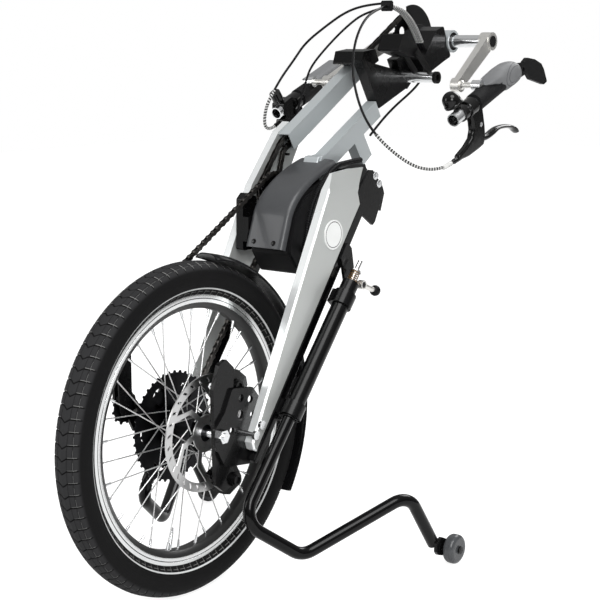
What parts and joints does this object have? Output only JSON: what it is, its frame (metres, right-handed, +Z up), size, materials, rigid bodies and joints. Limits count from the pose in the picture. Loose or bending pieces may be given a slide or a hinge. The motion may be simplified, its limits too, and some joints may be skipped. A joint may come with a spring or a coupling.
{
  "type": "handcycle",
  "caption": "Front-wheel drive unit that hooks on to a wheelchair: hand cranks over a single disc-braked wheel, chain drive with motor, and a castor stand.",
  "frame": {"origin": "on the floor, straight below the wheel's axle, in the middle plane of the wheel", "axes": "+Z up, -Y the way it rides, +X the rider's left"},
  "size_m": [0.559, 1.0259, 0.908],
  "materials": {
    "silver_frame": "satin",
    "fork_silver": "satin",
    "black_steel": "gloss",
    "polished": "satin",
    "steel": "satin",
    "chain_steel": "oiled",
    "black_cogs": "satin",
    "tyre": "matt",
    "rubber": "matt",
    "black_plastic": "matt",
    "grey_plastic": "satin",
    "gloss_black": "gloss",
    "castor": "translucent grey",
    "cord": "satin",
    "bronze": "satin"
  },
  "bodies": {
    "frame": {"axle_and_bolts": "steel", "dropouts": "black_steel", "brake_calipers": "black_steel", "caliper_bracket": "black_steel", "left_fork_leg": "fork_silver", "right_fork_leg": "fork_silver", "posts": "black_steel", "chain_tube": "silver_frame", "lower_tube": "silver_frame", "head_plate": "black_steel", "cross_tube": "silver_frame", "crank_shell": "polished", "shell_clamp": "silver_frame", "chain_guard": "black_plastic", "accessory_tube": "polished", "display_mount": "black_plastic", "motor_housing": "grey_plastic", "motor_cover": "grey_plastic", "motor_brackets": "black_plastic", "chain_guides": "black_plastic", "lower_chain": "chain_steel", "upper_chain": "chain_steel", "stand_sleeves": "black_steel", "latch_spring": "bronze", "latch_pivot": "black_steel", "steering_head": "silver_frame", "mudguard": "black_plastic", "left_brake_cable": "cord", "right_cables": "cord", "cable_bundle": "cord", "ribbed_hose": "cord"},
    "wheel": {"tyre": "tyre", "rim": "polished", "spokes": "steel", "hub_shell": "polished", "brake_disc": "steel"},
    "cassette": {"cassette": "black_cogs"},
    "jackshaft": {"jackshaft": "steel"},
    "derailleur": {"derailleur_cage": "black_steel", "derailleur_pulleys": "black_plastic"},
    "cranks": {"crank_spindle": "polished", "crank_arms": "polished", "chainring": "black_cogs"},
    "left_handle": {"left_handle_bar": "polished", "left_grip": "rubber", "left_hand_rest": "black_plastic", "left_lever_body": "gloss_black", "bell": "gloss_black"},
    "right_handle": {"right_handle_bar": "polished", "right_grip": "rubber", "right_hand_rest": "black_plastic", "right_lever_body": "gloss_black"},
    "left_brake_lever": {"left_brake_lever": "black_steel"},
    "right_brake_lever": {"right_brake_lever": "black_steel"},
    "stand": {"stand_legs": "black_steel"},
    "left_castor": {"left_castor": "castor"},
    "right_castor": {"right_castor": "castor"},
    "latch_lever": {"latch_lever": "steel"},
    "latch_rod": {"latch_rod": "steel"},
    "dock_yoke": {"dock_yoke": "black_steel"}
  },
  "joints": [
    {"name": "wheel_spin", "type": "hinge", "parent": "frame", "child": "wheel", "pos_m": [0, 0, 0.258], "axis": [1, 0, 0], "continuous": true},
    {"name": "crank_spin", "type": "hinge", "parent": "frame", "child": "cranks", "pos_m": [0, 0.694, 0.839], "axis": [1, 0, 0], "continuous": true, "deforming": ["upper_chain", "lower_chain"]},
    {"name": "jackshaft_spin", "type": "hinge", "parent": "frame", "child": "jackshaft", "pos_m": [0, 0.274, 0.595], "axis": [1, 0, 0], "continuous": true},
    {"name": "cassette_spin", "type": "hinge", "parent": "frame", "child": "cassette", "pos_m": [0, 0, 0.258], "axis": [1, 0, 0], "continuous": true},
    {"name": "derailleur_swing", "type": "hinge", "parent": "frame", "child": "derailleur", "pos_m": [-0.0468, -0.09, 0.394], "axis": [1, 0, 0], "range_deg": [-12, 15]},
    {"name": "left_handle_spin", "type": "hinge", "parent": "cranks", "child": "left_handle", "pos_m": [0.185, 0.547, 0.766], "axis": [1, 0, 0], "continuous": true, "deforming": ["left_brake_cable"]},
    {"name": "right_handle_spin", "type": "hinge", "parent": "cranks", "child": "right_handle", "pos_m": [-0.185, 0.547, 0.766], "axis": [1, 0, 0], "continuous": true, "deforming": ["right_cables"]},
    {"name": "left_brake_pull", "type": "hinge", "parent": "left_handle", "child": "left_brake_lever", "pos_m": [0.185, 0.534, 0.702], "axis": [1, 0, 0], "range_deg": [0, 14]},
    {"name": "right_brake_pull", "type": "hinge", "parent": "right_handle", "child": "right_brake_lever", "pos_m": [-0.185, 0.508, 0.704], "axis": [1, 0, 0], "range_deg": [0, 6]},
    {"name": "stand_slide", "type": "slide", "parent": "frame", "child": "stand", "axis": [0, 0.6467, 0.7628], "range_m": [0, 0.115]},
    {"name": "left_castor_spin", "type": "hinge", "parent": "stand", "child": "left_castor", "pos_m": [0.2655, 0.352, 0.024], "axis": [1, 0, 0], "continuous": true},
    {"name": "right_castor_spin", "type": "hinge", "parent": "stand", "child": "right_castor", "pos_m": [-0.2655, 0.352, 0.024], "axis": [1, 0, 0], "continuous": true},
    {"name": "latch_turn", "type": "hinge", "parent": "frame", "child": "latch_lever", "pos_m": [0.114, 0.3002, 0.4524], "axis": [1, 0, 0], "range_deg": [-20, 40]},
    {"name": "latch_rod_slide", "type": "slide", "parent": "frame", "child": "latch_rod", "axis": [0, -0.6467, -0.7628], "range_m": [0, 0.008], "stiffness_N_per_m": 400, "springref_m": -0.004, "deforming": ["latch_spring"]},
    {"name": "dock_steer", "type": "hinge", "parent": "frame", "child": "dock_yoke", "pos_m": [0, 0.44, 0.588], "axis": [0, 0.3419, 0.9397], "range_deg": [-30, 30]}
  ],
  "couplings": [
    {"joint": "jackshaft_spin", "follows": "crank_spin", "ratio": 2.3636},
    {"joint": "cassette_spin", "follows": "crank_spin", "ratio": 1.9697}
  ]
}
